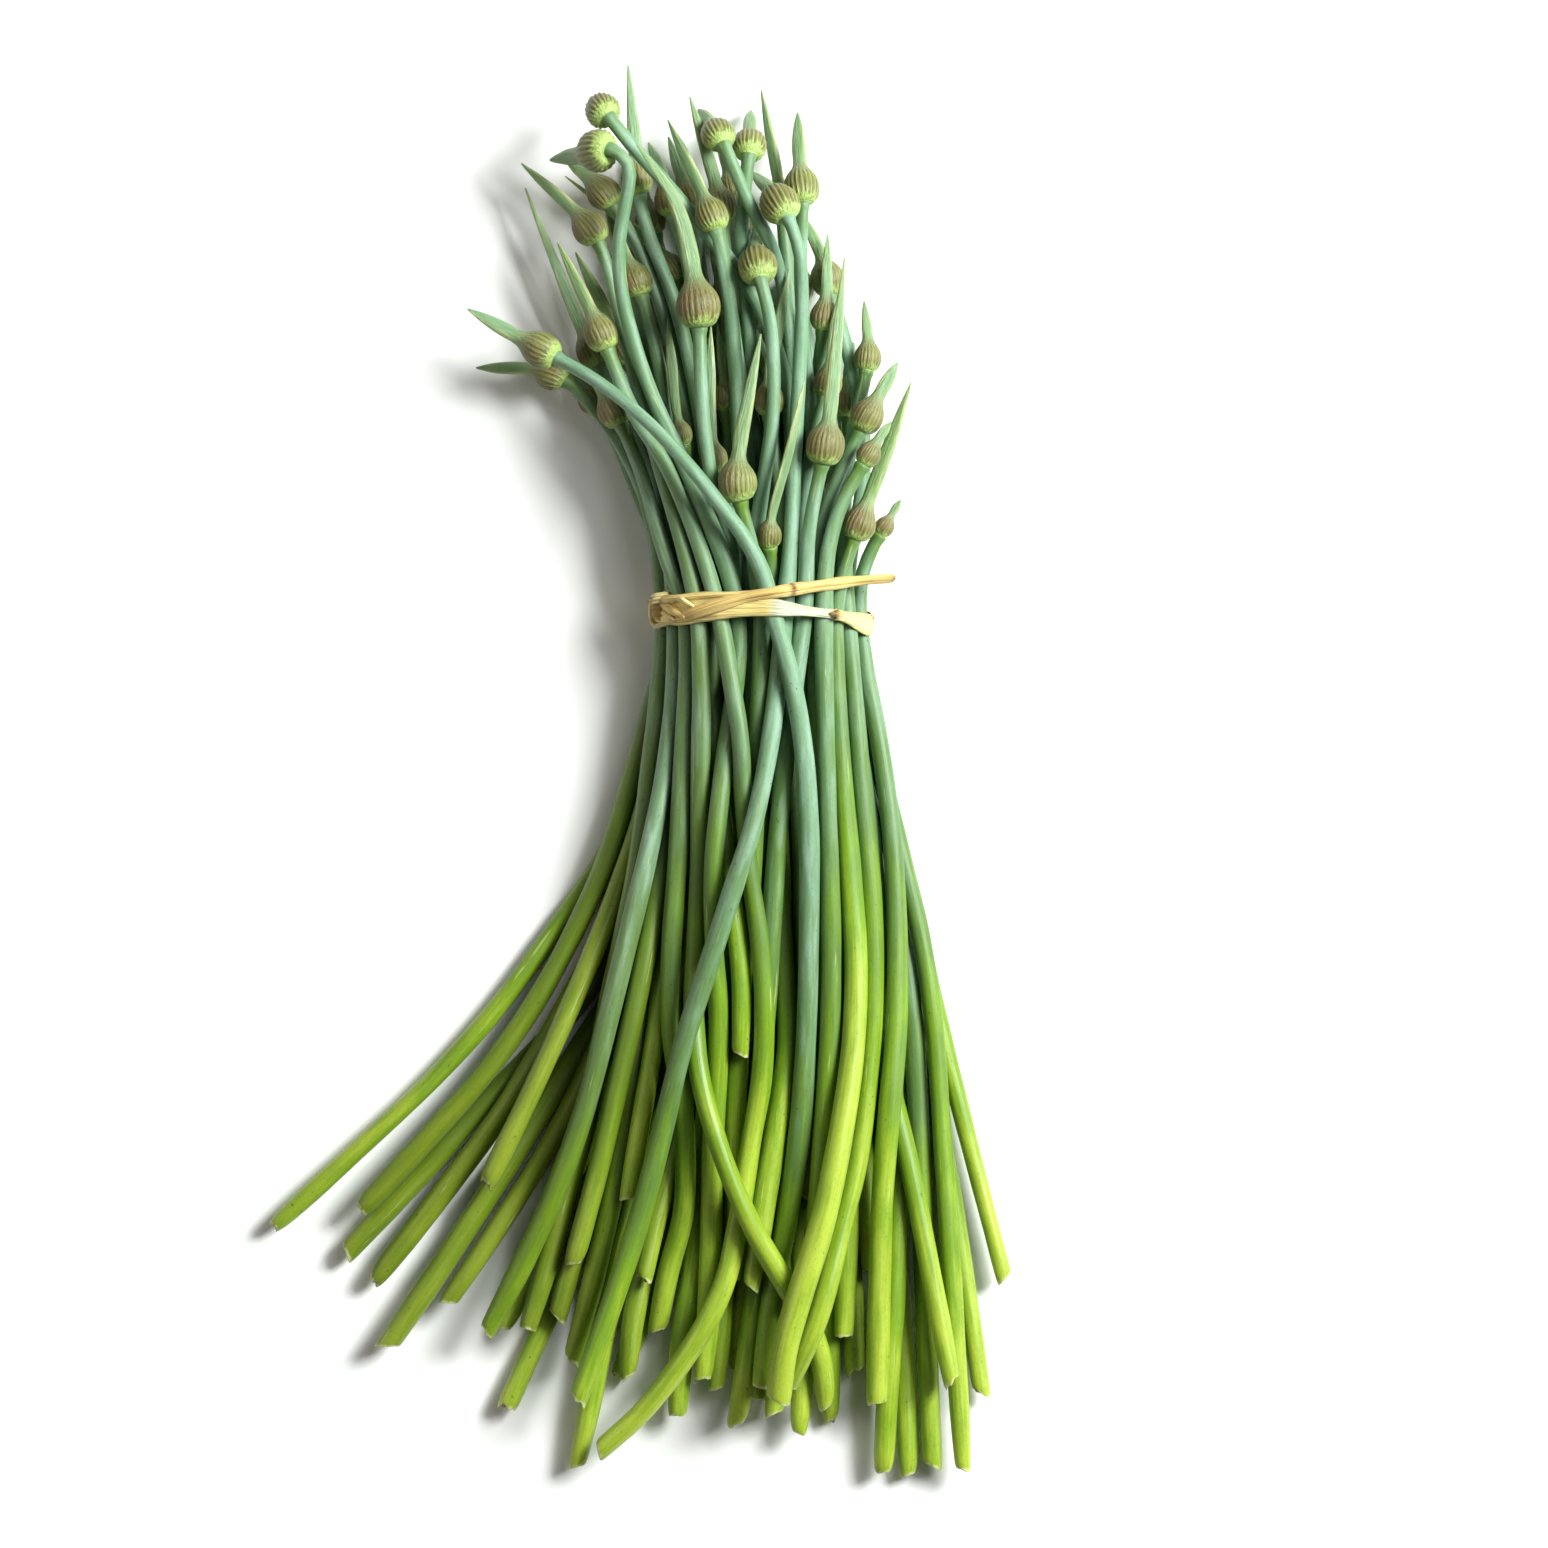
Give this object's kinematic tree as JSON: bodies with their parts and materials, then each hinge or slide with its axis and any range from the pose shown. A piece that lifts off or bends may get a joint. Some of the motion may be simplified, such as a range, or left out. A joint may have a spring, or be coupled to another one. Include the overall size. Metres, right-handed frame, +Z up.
{
  "type": "garlic scape bunch",
  "caption": "Bunch of freshly cut garlic scapes with round ribbed buds and pointed beaks, tied with a strip of raffia, lying on its side.",
  "frame": {"origin": "on the table under the middle of the bunch's box, where the tied bunch lies", "axes": "+Y along the stems towards the buds, +X to the right with the buds pointing away, +Z up from the table"},
  "size_m": [0.2242, 0.427, 0.0448],
  "materials": {
    "scape": "waxy satin, blue-green towards the buds and yellow-green towards the cut feet",
    "raffia": "dry matt straw with fine fibres along it"
  },
  "bodies": {
    "root": {"scape_01": "scape", "scape_02": "scape", "scape_03": "scape", "scape_04": "scape", "scape_05": "scape", "scape_06": "scape", "scape_07": "scape", "scape_08": "scape", "scape_09": "scape", "scape_10": "scape", "scape_11": "scape", "scape_12": "scape", "scape_13": "scape", "scape_14": "scape", "scape_15": "scape", "scape_16": "scape", "scape_17": "scape", "scape_18": "scape", "scape_19": "scape", "scape_20": "scape", "scape_21": "scape", "scape_22": "scape", "scape_23": "scape", "scape_24": "scape", "scape_25": "scape", "scape_26": "scape", "scape_27": "scape", "scape_28": "scape", "scape_29": "scape", "scape_30": "scape", "scape_31": "scape", "scape_32": "scape", "scape_33": "scape", "scape_34": "scape", "scape_35": "scape", "scape_36": "scape", "scape_37": "scape", "scape_38": "scape", "scape_39": "scape", "scape_40": "scape", "scape_41": "scape", "scape_42": "scape", "scape_43": "scape", "scape_44": "scape", "scape_45": "scape", "scape_46": "scape", "scape_47": "scape", "scape_48": "scape", "scape_49": "scape", "scape_50": "scape", "scape_51": "scape", "scape_52": "scape", "raffia_tie": "raffia"}
  },
  "joints": []
}
